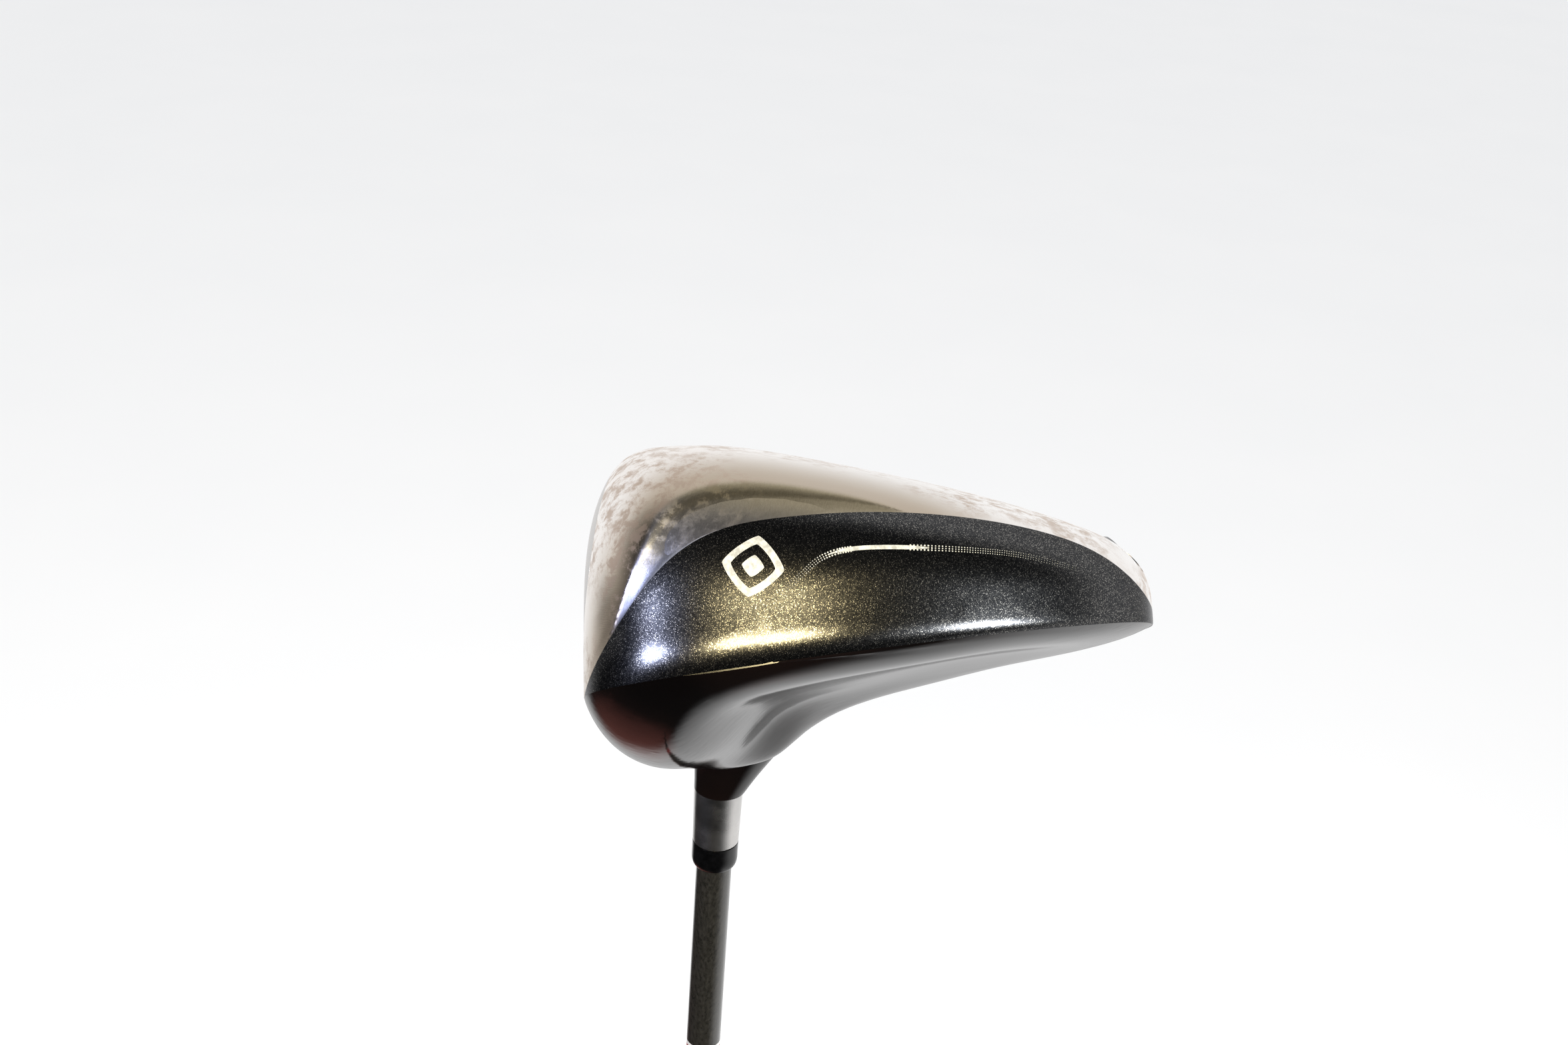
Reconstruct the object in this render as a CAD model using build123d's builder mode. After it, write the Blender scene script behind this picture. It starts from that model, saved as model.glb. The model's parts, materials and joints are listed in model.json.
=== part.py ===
from build123d import *
import math
import os

# Golf driver, right-handed, millimetres.
# Row frame: the shaft axis is Z, the butt end of the grip is at the origin and the head is at the
# top, upside down as it stands in a bag. +X is towards the toe and -Y towards the target.
# The head is drawn in its own address frame: x towards the toe, y towards the target, z up from
# the ground to the crown, with its origin on the ground under the face centre.

# ---- club ----
CLUB_LENGTH = 1143.0      # ground to butt end, along the shaft
LIE = 58.0                # shaft to ground, degrees
AXIS_OFFSET = 40.0        # shaft axis to face centre, along the ground

# ---- head ----
WIDEST_Y = -20.0          # fore-and-aft place of the widest section
CROWN_RISE = 16.7         # ridge above the parting plane
RIDGE_ROUND = 22.5        # rounding of the crown's front, fore and aft
RIDGE_POWER = 0.9         # fullness of that rounding
RIDGE_BACK = -11.6        # where the back of the ridge has fallen to RIDGE_LEVEL
RIDGE_LEVEL = 9.1
RIDGE_SLOPE = 5.7         # length over which it falls away
SPINE_SLOPE = 0.09        # rise of the middle from the rear to the ridge
SPINE_START = -66.0
HEEL_START = -25.0        # towards the heel the ridge moves back and eases
HEEL_BLEND = 33.0
HEEL_SHIFT = 9.1
HEEL_EASE = 2.0
TOE_POWER = 0.74          # how the ridge runs down to the toe
HEEL_SQUARENESS = 6       # how far towards the heel the ridge keeps its height
HEEL_POWER = 0.5
CREST_SHARPNESS = 6       # how closely the top follows the lower of ridge and rear slope
LEAST_FALL = 0.01
RIM_RISE = 3.1            # roll of the crown just inside its edge
RIM_ROLL = 6.0
RIM_WIDTH = 28.0
DISH = 0.45               # sag of the scooped rear crown
CROWN_WALL = 1.0
BODY_WALL = 1.2
NECK_WALL = 1.2
HEAD_SPAN = 110.0         # longer than any part of the head from its middle
FACE_WALL = 3.0

# Rings of the lower head, from the parting plane down to the sole: height at the front and at
# the rear, front and rear reach, toe and heel reach, and squareness of the front corners.
RINGS = (
    (58.7, 27.0, 13.2, -95.1, 58.2, 66.0, 3.2),
    (47.8, 24.5, 15.0, -94.9, 59.2, 65.0, 3.2),
    (36.5, 21.2, 16.8, -94.2, 58.6, 61.5, 3.2),
    (25.3, 17.7, 17.9, -92.7, 55.5, 57.0, 3.1),
    (15.8, 14.0, 17.4, -89.7, 48.0, 50.0, 3.0),
    (9.3, 11.3, 15.3, -84.5, 38.5, 41.0, 2.8),
    (5.5, 8.5, 10.1, -73.0, 27.5, 30.0, 2.4),
    (3.6, 6.4, 4.0, -61.0, 18.5, 21.0, 2.2),
    (2.8, 5.0, -2.0, -49.0, 11.0, 12.5, 2.1),
    (2.5, 4.0, -8.0, -38.0, 5.5, 6.0, 2.0),
)
EDGE_SLOPE = (RINGS[0][0] - RINGS[0][1]) / (RINGS[0][2] - RINGS[0][3])
EDGE_HEIGHT = RINGS[0][0] - EDGE_SLOPE * RINGS[0][2]
RING_POINTS = 28
REAR_POWER = 2.0          # the rear half of every ring is an ellipse
CROWN_STATIONS = (-65.4, -62, -55, -45, -32, -16, 0, 15, 28, 39, 48, 53.5, 57, 57.9)
CROWN_POINTS = 14
CROWN_SPREAD = 1.25       # draws the points of a crown curve towards the front
INNER_FRONT_GAP = 0.1     # least gap between an inner curve's first points, at the front
INNER_REAR_GAP = 0.6

# Outline of the painted skirt panel as seen from the toe, from the face round the sole side to
# the rear tip; the heel panel is its mirror image.
PANEL_OUTLINE = (
    (11.0, 59.0), (6.8, 51.6), (1.4, 41.9), (-4.7, 32.3), (-12.2, 25.6), (-24.2, 20.9),
    (-37.9, 17.6), (-55.4, 15.2), (-70.2, 15.0), (-80.5, 16.6), (-88.5, 20.0), (-97.0, 26.5),
)
PANEL_TOP = 60.0          # clear above the parting plane

# Face insert outline in sideways place and height, from the top round by the toe.
FACE_OUTLINE = (
    (0, 53.6), (24, 51.6), (38, 44), (42.5, 33), (37, 21), (22, 12.5), (0, 9.5),
    (-22, 11), (-37, 18), (-44, 30), (-40, 43), (-25, 51),
)
GROOVE_HEIGHTS = (18, 23, 28, 33, 38, 43)
GROOVE_LENGTH = 13.0
GROOVE_WIDTH = 0.9
GROOVE_DEPTH = 0.35
GROOVE_INNER = 17.0       # groove centre from the face centre

# ---- hosel, as distances along the shaft from the ground ----
SILVER_START = 89.1
HOSEL_TOP = 105.2
FERRULE_TOP = 112.4
TUBE_FOOT = 60.0
SHAFT_TIP = 69.0
TUBE_RADIUS = 5.9
TUBE_BORE = 4.62
SILVER_RADIUS = 6.2
EDGE_BREAK = 0.4
BORE_OVERRUN = 1.0        # how far the tube's bore in the neck is cut past its end
PLUG_LENGTH = 5.0
FERRULE_RADIUS = 5.9
FERRULE_LIP_RADIUS = 4.95
FERRULE_STRAIGHT = 2.4    # straight part of the ferrule, from the hosel
FERRULE_LEAN = 0.6        # rise of its shoulder where it leaves the lip

# Neck flare: distance along the shaft, then reach to the front, rear, toe and heel.
NECK = (
    (89.1, 6.2, 6.9, 6.3, 6.2),
    (86.0, 6.2, 8.5, 6.9, 6.2),
    (82.0, 6.3, 10.6, 8.0, 6.3),
    (75.0, 6.6, 14.5, 10.5, 6.6),
    (66.0, 7.5, 18.5, 14.0, 7.2),
    (55.0, 8.5, 20.0, 17.0, 7.6),
    (40.0, 7.5, 13.0, 11.0, 7.0),
    (26.0, 4.0, 5.0, 4.0, 4.0),
)

# ---- shaft ----
TIP_RADIUS = 4.45
TIP_PAINTED_RADIUS = 4.6
TIP_PARALLEL = 170.0      # end of the parallel tip section, from the ground
BUTT_RADIUS = 7.6
TIP_WALL = 1.35
BUTT_WALL = 0.95
TIP_BREAK = 0.3
TIP_WEIGHT_LENGTH = 12.0
TIP_WEIGHT_BREAK = 0.5
TIP_WEIGHT_SINK = 1.0     # weight inside the tip

# ---- grip ----
GRIP_LENGTH = 268.0
GRIP_BUTT_RADIUS = 13.3
CAP_THICKNESS = 4.0
CAP_DOME = 2.4            # rounding of the cap's rim
SPIGOT_END = 14.0
SPIGOT_BREAK = 1.0
SPIGOT_CLEARANCE = 0.1
TAPE_THICKNESS = 0.3
TAPE_END = 262.0
GRIP_PROFILE = (
    (13.3, 4.0), (13.0, 22.0), (11.7, 90.0), (10.5, 160.0), (9.2, 235.0), (8.4, 264.0),
    (7.9, 268.0),
)
VENT_RADIUS = 1.5

# ---- rear weight port ----
PORT_X = 7.0
PORT_Y = -88.0
PORT_Z = 13.2
PORT_RADIUS = 5.4
PORT_WALL = 1.3
PORT_DEPTH = 9.0
PORT_LEAD = 27.5          # how far outside the sole the port's cutters start
SCREW_DEPTH = 7.0
SCREW_SINK = 1.2          # screw head below the sole
SCREW_BREAK = 0.6
SOCKET_RADIUS = 2.5
SOCKET_DEPTH = 2.6
PORT_TILT = 40.0          # port axis off vertical, towards the rear

# ---- hot melt pad ----
MELT_X = 14.0
MELT_Y = -34.0
MELT_LENGTH = 30.0
MELT_WIDTH = 22.0
MELT_TOP = 6.6            # above the ground

HEAD_PLANE = Plane(
    origin=(
        AXIS_OFFSET * math.sin(math.radians(LIE)),
        0,
        CLUB_LENGTH + AXIS_OFFSET * math.cos(math.radians(LIE)),
    ),
    x_dir=(math.sin(math.radians(LIE)), 0, math.cos(math.radians(LIE))),
    z_dir=(math.cos(math.radians(LIE)), 0, -math.sin(math.radians(LIE))),
)


def head(plane):
    """Plane given in the address frame, in the row frame."""
    return Plane(HEAD_PLANE.location * plane.location)


def axial(distance):
    """Plane across the shaft at this distance from the ground."""
    return Plane.XY.offset(CLUB_LENGTH - distance)


def reach(x, half_width, length, squareness):
    """Fore or aft reach of a rounded outline at sideways place x."""
    share = min(1.0, abs(x) / half_width)
    return length * (1 - share**squareness) ** (1 / squareness)


def edge_height(y):
    return EDGE_HEIGHT + EDGE_SLOPE * y


def front_edge(x):
    ring = RINGS[0]
    side = ring[4] if x > 0 else ring[5]
    return WIDEST_Y + reach(x, side, ring[2] - WIDEST_Y, ring[6])


def rear_edge(x):
    ring = RINGS[0]
    side = ring[4] if x > 0 else ring[5]
    return WIDEST_Y - reach(x, side, WIDEST_Y - ring[3], REAR_POWER)


def crown_height(x, y):
    """Height of the crown: a round ridge behind the face that drops to a dished rear."""
    heel = min(1.0, max(0.0, (HEEL_START - x) / HEEL_BLEND))
    heel = heel * heel * (3 - 2 * heel)
    drop = math.exp((y - RIDGE_BACK + HEEL_SHIFT * heel) / (RIDGE_SLOPE + HEEL_EASE * heel))
    fall = RIDGE_LEVEL * drop + SPINE_SLOPE * max(0.0, y - SPINE_START)
    limits = CROWN_RISE**-CREST_SHARPNESS + max(fall, LEAST_FALL) ** -CREST_SHARPNESS
    back = limits ** (-1 / CREST_SHARPNESS)
    near = min(1.0, max(0.0, (front_edge(x) - y) / RIDGE_ROUND))
    front = (near * (2 - near)) ** RIDGE_POWER
    ring = RINGS[0]
    side = ring[4] if x > 0 else ring[5]
    if x > 0:
        across = (1 - min(1.0, x / side) ** 2) ** TOE_POWER
    else:
        across = (1 - min(1.0, -x / side) ** HEEL_SQUARENESS) ** HEEL_POWER
    length = (ring[2] if y > WIDEST_Y else ring[3]) - WIDEST_Y
    power = ring[6] if y > WIDEST_Y else REAR_POWER
    share = (abs(x) / side) ** power + abs((y - WIDEST_Y) / length) ** power
    inside = side * max(0.0, 1 - share ** (1 / power))
    rim = RIM_RISE * (1 - math.exp(-inside / RIM_ROLL)) * math.exp(-((inside / RIM_WIDTH) ** 2))
    dish = DISH * (1 - math.exp(-((inside / RIM_WIDTH) ** 2)))
    return edge_height(y) + back * front * across + rim - dish


def ring_plane(ring):
    """Plane of one ring; it tilts from its front height to its rear height."""
    slope = (ring[0] - ring[1]) / (ring[2] - ring[3])
    height = ring[0] - slope * ring[2]
    return head(Plane(origin=(0, 0, height), x_dir=(1, 0, 0), z_dir=(0, -slope, 1))), slope


def ring_points(ring, slope):
    """Points of one ring, in its own plane."""
    stretch = math.sqrt(1 + slope * slope)
    points = []
    for index in range(RING_POINTS):
        angle = 2 * math.pi * index / RING_POINTS
        c, s = math.cos(angle), math.sin(angle)
        power = ring[6] if s > 0 else REAR_POWER
        side = ring[4] if c > 0 else ring[5]
        length = ring[2] - WIDEST_Y if s > 0 else WIDEST_Y - ring[3]
        x = math.copysign(side * abs(c) ** (2 / power), c)
        y = WIDEST_Y + math.copysign(length * abs(s) ** (2 / power), s)
        points.append((x, y * stretch))
    return points


def inner_ring(ring, level, wall):
    """The same ring on the inside of the wall; the top one stands above the parting plane."""
    slope = (ring[0] - ring[1]) / (ring[2] - ring[3])
    lift = wall * (level / (len(RINGS) - 1)) ** 2 if level else wall
    return (
        ring[0] - slope * wall + lift, ring[1] + slope * wall + lift,
        ring[2] - wall, ring[3] + wall, ring[4] - wall, ring[5] - wall, ring[6],
    )


# Lower head, outside and inside.
with BuildPart() as bowl:
    for ring in RINGS:
        plane, slope = ring_plane(ring)
        with BuildSketch(plane):
            with BuildLine():
                Spline(*ring_points(ring, slope), periodic=True)
            make_face()
    loft()

with BuildPart() as bowl_cavity:
    for level, ring in enumerate(RINGS):
        inside = inner_ring(ring, level, BODY_WALL)
        plane, slope = ring_plane(inside)
        with BuildSketch(plane):
            with BuildLine():
                Spline(*ring_points(inside, slope), periodic=True)
            make_face()
    loft()


def crown_curve(x):
    """Outer curve of the crown across x, from its front edge to its rear edge."""
    front = front_edge(x)
    rear = rear_edge(x)
    curve = [(front, edge_height(front))]
    for index in range(1, CROWN_POINTS):
        share = (0.5 - 0.5 * math.cos(math.pi * index / CROWN_POINTS)) ** CROWN_SPREAD
        y = front + (rear - front) * share
        curve.append((y, crown_height(x, y)))
    return curve + [(rear, edge_height(rear))]


def inside_of(curve, wall):
    """The same curve one wall thickness further in, ending on the parting plane."""
    moved = []
    for before, after in zip(curve[:-2], curve[2:]):
        run = math.dist(before, after)
        mid = curve[len(moved) + 1]
        normal = ((after[1] - before[1]) / run, (before[0] - after[0]) / run)
        moved.append((mid[0] - wall * normal[0], mid[1] - wall * normal[1]))
    first = curve[0][0] - wall
    last = curve[-1][0] + wall
    inner = [point for point in moved if last + INNER_REAR_GAP < point[0] < first - INNER_FRONT_GAP]
    return [(first, edge_height(first))] + inner + [(last, edge_height(last))]


with BuildPart() as dome:
    for x in CROWN_STATIONS:
        outer = crown_curve(x)
        inner = inside_of(outer, CROWN_WALL)
        with BuildSketch(head(Plane(origin=(x, 0, 0), x_dir=(0, 1, 0), z_dir=(1, 0, 0)))):
            with BuildLine():
                Spline(*outer)
                Line(outer[-1], inner[-1])
                Spline(*inner)
                Line(inner[0], outer[0])
            make_face()
    loft()

# Neck flare, from inside the heel up to the silver of the hosel, and its hollow.
with BuildPart() as neck:
    for distance, front, rear, toe, heel in NECK:
        with BuildSketch(axial(distance)):
            with Locations(((toe - heel) / 2, (rear - front) / 2)):
                Ellipse((toe + heel) / 2, (rear + front) / 2)
    loft()

with BuildPart() as neck_cavity:
    for distance, front, rear, toe, heel in NECK[2:-1]:
        with BuildSketch(axial(distance)):
            with Locations(((toe - heel) / 2, (rear - front) / 2)):
                Ellipse((toe + heel) / 2 - NECK_WALL, (rear + front) / 2 - NECK_WALL)
    loft()

with BuildPart() as neck_shell:
    add(neck.part)
    add(neck_cavity.part, mode=Mode.SUBTRACT)

with BuildPart() as hosel_bore:
    with BuildSketch(axial(TUBE_FOOT)):
        Circle(TUBE_RADIUS)
    extrude(amount=TUBE_FOOT - SILVER_START - BORE_OVERRUN)

SIDE_PLANE = head(Plane(origin=(0, 0, 0), x_dir=(0, 1, 0), z_dir=(1, 0, 0)))
FRONT_PLANE = head(Plane(origin=(0, 0, 0), x_dir=(1, 0, 0), z_dir=(0, -1, 0)))
PARTING_PLANE = head(
    Plane(origin=(0, 0, EDGE_HEIGHT), x_dir=(1, 0, 0), z_dir=(0, -EDGE_SLOPE, 1))
)
PORT_PLANE = head(
    Plane(
        origin=(PORT_X, PORT_Y, PORT_Z),
        x_dir=(1, 0, 0),
        z_dir=(0, math.sin(math.radians(PORT_TILT)), math.cos(math.radians(PORT_TILT))),
    )
)


def panel_prism(direction):
    """Block under the panel outline, from the head's middle out to one side."""
    with BuildPart() as prism:
        with BuildSketch(SIDE_PLANE):
            with BuildLine():
                side = Spline(*PANEL_OUTLINE)
                Polyline(side @ 1, (-HEAD_SPAN, PANEL_TOP), side @ 0)
            make_face()
        extrude(amount=direction * HEAD_SPAN)
    return prism.part


def face_prism():
    """Block under the face insert outline, from the shaft plane out to the front."""
    with BuildPart() as prism:
        with BuildSketch(FRONT_PLANE):
            with BuildLine():
                Spline(*FACE_OUTLINE, periodic=True)
            make_face()
        extrude(amount=-HEAD_SPAN)
    return prism.part


def port_block(radius, start, depth):
    """Cylinder on the weight port's axis, from a start depth inwards."""
    with BuildPart() as block:
        with BuildSketch(PORT_PLANE.offset(start)):
            Circle(radius)
        extrude(amount=depth)
    return block.part


toe_prism = panel_prism(1)
heel_prism = panel_prism(-1)
face_block = face_prism()

# Lower part of the neck, below the crown's parting plane.
with BuildPart() as neck_root:
    add(neck_shell.part)
    split(bisect_by=PARTING_PLANE, keep=Keep.BOTTOM)
    add(hosel_bore.part, mode=Mode.SUBTRACT)

with BuildPart() as neck_top:
    add(neck_shell.part)
    split(bisect_by=PARTING_PLANE, keep=Keep.TOP)

# Painted skirt walls.
with BuildPart() as toe_panel:
    add(bowl.part)
    add(bowl_cavity.part, mode=Mode.SUBTRACT)
    add(toe_prism, mode=Mode.INTERSECT)
    add(face_block, mode=Mode.SUBTRACT)

with BuildPart() as heel_panel:
    add(bowl.part)
    add(bowl_cavity.part, mode=Mode.SUBTRACT)
    add(heel_prism, mode=Mode.INTERSECT)
    add(neck.part, mode=Mode.SUBTRACT)
    add(neck_root.part)
    add(face_block, mode=Mode.SUBTRACT)
    add(hosel_bore.part, mode=Mode.SUBTRACT)

# Bare metal body: sole, face frame and rear.
with BuildPart() as sole_body:
    add(bowl.part)
    add(bowl_cavity.part, mode=Mode.SUBTRACT)
    add(toe_prism, mode=Mode.SUBTRACT)
    add(heel_prism, mode=Mode.SUBTRACT)
    add(face_block, mode=Mode.SUBTRACT)
    add(neck.part, mode=Mode.SUBTRACT)
    add(port_block(PORT_RADIUS + PORT_WALL, -PORT_LEAD, 2 * PORT_LEAD), mode=Mode.SUBTRACT)


def set_back(depth):
    """The head's outside moved rearwards."""
    return bowl.part.moved(Location(HEAD_PLANE.y_dir * -depth))


# Scorelines either side of a bare centre.
with BuildPart() as grooves:
    with BuildSketch(FRONT_PLANE):
        for height in GROOVE_HEIGHTS:
            with Locations((-GROOVE_INNER, height), (GROOVE_INNER, height)):
                SlotOverall(GROOVE_LENGTH, GROOVE_WIDTH)
    extrude(amount=-HEAD_SPAN)
    add(bowl.part, mode=Mode.INTERSECT)
    add(set_back(GROOVE_DEPTH), mode=Mode.SUBTRACT)

# Face insert, thicker than the body.
with BuildPart() as face_insert:
    add(bowl.part)
    add(face_block, mode=Mode.INTERSECT)
    add(set_back(FACE_WALL), mode=Mode.SUBTRACT)
    add(grooves.part, mode=Mode.SUBTRACT)

# Crown with the painted neck.
with BuildPart() as crown_shell:
    add(dome.part)
    add(neck.part, mode=Mode.SUBTRACT)
    add(neck_top.part)
    add(hosel_bore.part, mode=Mode.SUBTRACT)

# Hosel tube: parallel inside the neck, then a slow taper where it shows as bare metal.
with BuildPart() as hosel_tube:
    with BuildSketch(Plane.XZ):
        with BuildLine():
            Polyline(
                (TUBE_BORE, CLUB_LENGTH - TUBE_FOOT),
                (TUBE_RADIUS, CLUB_LENGTH - TUBE_FOOT),
                (TUBE_RADIUS, CLUB_LENGTH - SILVER_START),
                (SILVER_RADIUS, CLUB_LENGTH - SILVER_START),
                (TUBE_RADIUS, CLUB_LENGTH - HOSEL_TOP + EDGE_BREAK),
                (TUBE_RADIUS - EDGE_BREAK, CLUB_LENGTH - HOSEL_TOP),
                (TUBE_BORE, CLUB_LENGTH - HOSEL_TOP),
                close=True,
            )
        make_face()
    revolve(axis=Axis.Z)

# Plug that stops the adhesive at the foot of the tube.
with BuildPart() as hosel_plug:
    with BuildSketch(axial(TUBE_FOOT)):
        Circle(TUBE_BORE)
    extrude(amount=-PLUG_LENGTH)
    chamfer(hosel_plug.edges().filter_by(GeomType.CIRCLE), EDGE_BREAK)

# Cured adhesive between the shaft tip and the tube.
with BuildPart() as epoxy_bond:
    with BuildSketch(axial(HOSEL_TOP)):
        Circle(TUBE_BORE)
        Circle(TIP_RADIUS, mode=Mode.SUBTRACT)
    extrude(amount=HOSEL_TOP - SHAFT_TIP)

# Ferrule, with a rounded shoulder towards the shaft.
with BuildPart() as ferrule:
    with BuildSketch(Plane.XZ):
        with BuildLine():
            foot = CLUB_LENGTH - HOSEL_TOP
            top = CLUB_LENGTH - FERRULE_TOP
            bore = Line((TIP_RADIUS, foot), (TIP_RADIUS, top))
            lip = Line(bore @ 1, (FERRULE_LIP_RADIUS, top))
            side = Line((FERRULE_RADIUS, foot - FERRULE_STRAIGHT), (FERRULE_RADIUS, foot))
            Spline(lip @ 1, side @ 0, tangents=((1, FERRULE_LEAN), (0, 1)))
            Line(side @ 1, bore @ 0)
        make_face()
    revolve(axis=Axis.Z)


def shaft_radius(height):
    """Outside radius of the painted shaft at this height above the butt end."""
    start = CLUB_LENGTH - TIP_PARALLEL
    if height > start:
        return TIP_PAINTED_RADIUS
    share = (start - height) / (start - CAP_THICKNESS)
    return TIP_PAINTED_RADIUS + (BUTT_RADIUS - TIP_PAINTED_RADIUS) * share


# Hollow tapered shaft with a bare tip that goes through the ferrule into the tube.
with BuildPart() as shaft:
    with BuildSketch(Plane.XZ):
        with BuildLine():
            Polyline(
                (TIP_RADIUS - TIP_WALL, CLUB_LENGTH - SHAFT_TIP),
                (TIP_RADIUS - TIP_BREAK, CLUB_LENGTH - SHAFT_TIP),
                (TIP_RADIUS, CLUB_LENGTH - SHAFT_TIP - TIP_BREAK),
                (TIP_RADIUS, CLUB_LENGTH - FERRULE_TOP),
                (TIP_PAINTED_RADIUS, CLUB_LENGTH - FERRULE_TOP),
                (TIP_PAINTED_RADIUS, CLUB_LENGTH - TIP_PARALLEL),
                (BUTT_RADIUS, CAP_THICKNESS),
                (BUTT_RADIUS - BUTT_WALL, CAP_THICKNESS),
                (TIP_RADIUS - TIP_WALL, CLUB_LENGTH - TIP_PARALLEL),
                close=True,
            )
        make_face()
    revolve(axis=Axis.Z)

# Swing-weight slug glued in the shaft tip.
with BuildPart() as tip_weight:
    with BuildSketch(axial(SHAFT_TIP + TIP_WEIGHT_SINK)):
        Circle(TIP_RADIUS - TIP_WALL)
    extrude(amount=-TIP_WEIGHT_LENGTH)
    chamfer(tip_weight.edges().filter_by(GeomType.CIRCLE), TIP_WEIGHT_BREAK)

# Double-sided tape under the grip.
with BuildPart() as grip_tape:
    with BuildSketch(Plane.XZ):
        with BuildLine():
            low = shaft_radius(CAP_THICKNESS)
            high = shaft_radius(TAPE_END)
            Polyline(
                (low, CAP_THICKNESS),
                (low + TAPE_THICKNESS, CAP_THICKNESS),
                (high + TAPE_THICKNESS, TAPE_END),
                (high, TAPE_END),
                close=True,
            )
        make_face()
    revolve(axis=Axis.Z)

# Rubber grip sleeve, swelling towards the butt.
with BuildPart() as grip_sleeve:
    with BuildSketch(Plane.XZ):
        with BuildLine():
            outside = Spline(*GRIP_PROFILE)
            mouth = shaft_radius(GRIP_LENGTH)
            Polyline(
                outside @ 1,
                (mouth, GRIP_LENGTH),
                (high, TAPE_END),
                (high + TAPE_THICKNESS, TAPE_END),
                (low + TAPE_THICKNESS, CAP_THICKNESS),
                outside @ 0,
            )
        make_face()
    revolve(axis=Axis.Z)

# Butt cap: a domed disc with a vent and a spigot that plugs the shaft.
with BuildPart() as grip_cap:
    with BuildSketch(Plane.XZ):
        with BuildLine():
            spigot = BUTT_RADIUS - BUTT_WALL - SPIGOT_CLEARANCE
            rim = Line((GRIP_BUTT_RADIUS, CAP_DOME), (GRIP_BUTT_RADIUS, CAP_THICKNESS))
            disc = Line((VENT_RADIUS, 0), (GRIP_BUTT_RADIUS - CAP_DOME, 0))
            Spline(disc @ 1, rim @ 0, tangents=((1, 0), (0, 1)))
            Polyline(
                rim @ 1,
                (spigot, CAP_THICKNESS),
                (spigot, SPIGOT_END - SPIGOT_BREAK),
                (spigot - SPIGOT_BREAK, SPIGOT_END),
                (VENT_RADIUS, SPIGOT_END),
                disc @ 0,
            )
        make_face()
    revolve(axis=Axis.Z)

# Threaded boss of the rear weight port, flush with the sole outside and closed inside.
with BuildPart() as weight_port:
    add(port_block(PORT_RADIUS + PORT_WALL, -PORT_LEAD, PORT_LEAD + PORT_DEPTH))
    add(bowl.part, mode=Mode.INTERSECT)
    add(port_block(PORT_RADIUS, -PORT_LEAD, PORT_LEAD + SCREW_DEPTH), mode=Mode.SUBTRACT)

# Weight screw, sunk in the port, with a hexagon socket.
with BuildPart() as weight_screw:
    add(port_block(PORT_RADIUS, SCREW_SINK, SCREW_DEPTH - SCREW_SINK))
    chamfer(weight_screw.faces().sort_by(Axis.Z)[-1].edges(), SCREW_BREAK)
    with BuildSketch(PORT_PLANE.offset(SCREW_SINK)):
        RegularPolygon(SOCKET_RADIUS, 6)
    extrude(amount=SOCKET_DEPTH, mode=Mode.SUBTRACT)

# Pad of hot melt that quiets the sole.
with BuildPart() as hot_melt_pad:
    with BuildSketch(head(Plane.XY)):
        with Locations((MELT_X, MELT_Y)):
            Ellipse(MELT_LENGTH / 2, MELT_WIDTH / 2)
    extrude(amount=MELT_TOP)
    add(bowl_cavity.part, mode=Mode.INTERSECT)

PIECES = {
    "face_insert": face_insert,
    "sole_body": sole_body,
    "toe_panel": toe_panel,
    "heel_panel": heel_panel,
    "crown_shell": crown_shell,
    "hosel_tube": hosel_tube,
    "hosel_plug": hosel_plug,
    "epoxy_bond": epoxy_bond,
    "ferrule": ferrule,
    "shaft": shaft,
    "tip_weight": tip_weight,
    "grip_tape": grip_tape,
    "grip_sleeve": grip_sleeve,
    "grip_cap": grip_cap,
    "weight_port": weight_port,
    "weight_screw": weight_screw,
    "hot_melt_pad": hot_melt_pad,
}

os.makedirs("parts", exist_ok=True)
for name, piece in PIECES.items():
    piece.part.label = name
    export_step(piece.part, f"parts/{name}.step")
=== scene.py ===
import json
import math

import bmesh
import bpy
from mathutils import Matrix, Vector
from mathutils.bvhtree import BVHTree
from mathutils.geometry import barycentric_transform
from mathutils.kdtree import KDTree


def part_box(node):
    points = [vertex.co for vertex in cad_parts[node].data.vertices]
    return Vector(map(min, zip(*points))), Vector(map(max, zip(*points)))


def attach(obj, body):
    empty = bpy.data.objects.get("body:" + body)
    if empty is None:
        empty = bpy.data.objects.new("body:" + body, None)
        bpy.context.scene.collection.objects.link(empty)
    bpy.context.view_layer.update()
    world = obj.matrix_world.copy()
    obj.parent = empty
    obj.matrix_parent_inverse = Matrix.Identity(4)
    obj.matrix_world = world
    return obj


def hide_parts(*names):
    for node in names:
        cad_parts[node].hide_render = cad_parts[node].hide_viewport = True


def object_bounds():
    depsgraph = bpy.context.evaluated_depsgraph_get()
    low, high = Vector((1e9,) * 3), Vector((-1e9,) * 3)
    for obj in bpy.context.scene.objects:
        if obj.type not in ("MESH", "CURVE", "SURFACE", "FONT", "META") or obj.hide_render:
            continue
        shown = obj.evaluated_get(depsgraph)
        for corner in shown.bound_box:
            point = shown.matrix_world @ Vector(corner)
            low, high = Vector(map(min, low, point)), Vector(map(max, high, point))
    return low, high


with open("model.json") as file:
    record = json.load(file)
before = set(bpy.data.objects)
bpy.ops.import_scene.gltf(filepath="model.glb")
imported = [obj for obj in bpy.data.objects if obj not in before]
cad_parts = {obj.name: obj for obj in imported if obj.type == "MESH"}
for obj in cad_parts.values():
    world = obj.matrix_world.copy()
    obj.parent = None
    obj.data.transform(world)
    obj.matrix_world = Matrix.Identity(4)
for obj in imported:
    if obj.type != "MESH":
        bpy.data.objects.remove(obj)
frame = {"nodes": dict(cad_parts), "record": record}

# Golf driver, upside down with the grip at the bottom. The head has its own frame: x towards the
# toe, y towards the target, z from the sole to the crown, in millimetres from the ground point.
cad_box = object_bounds()
nodes = frame["nodes"]
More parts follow.
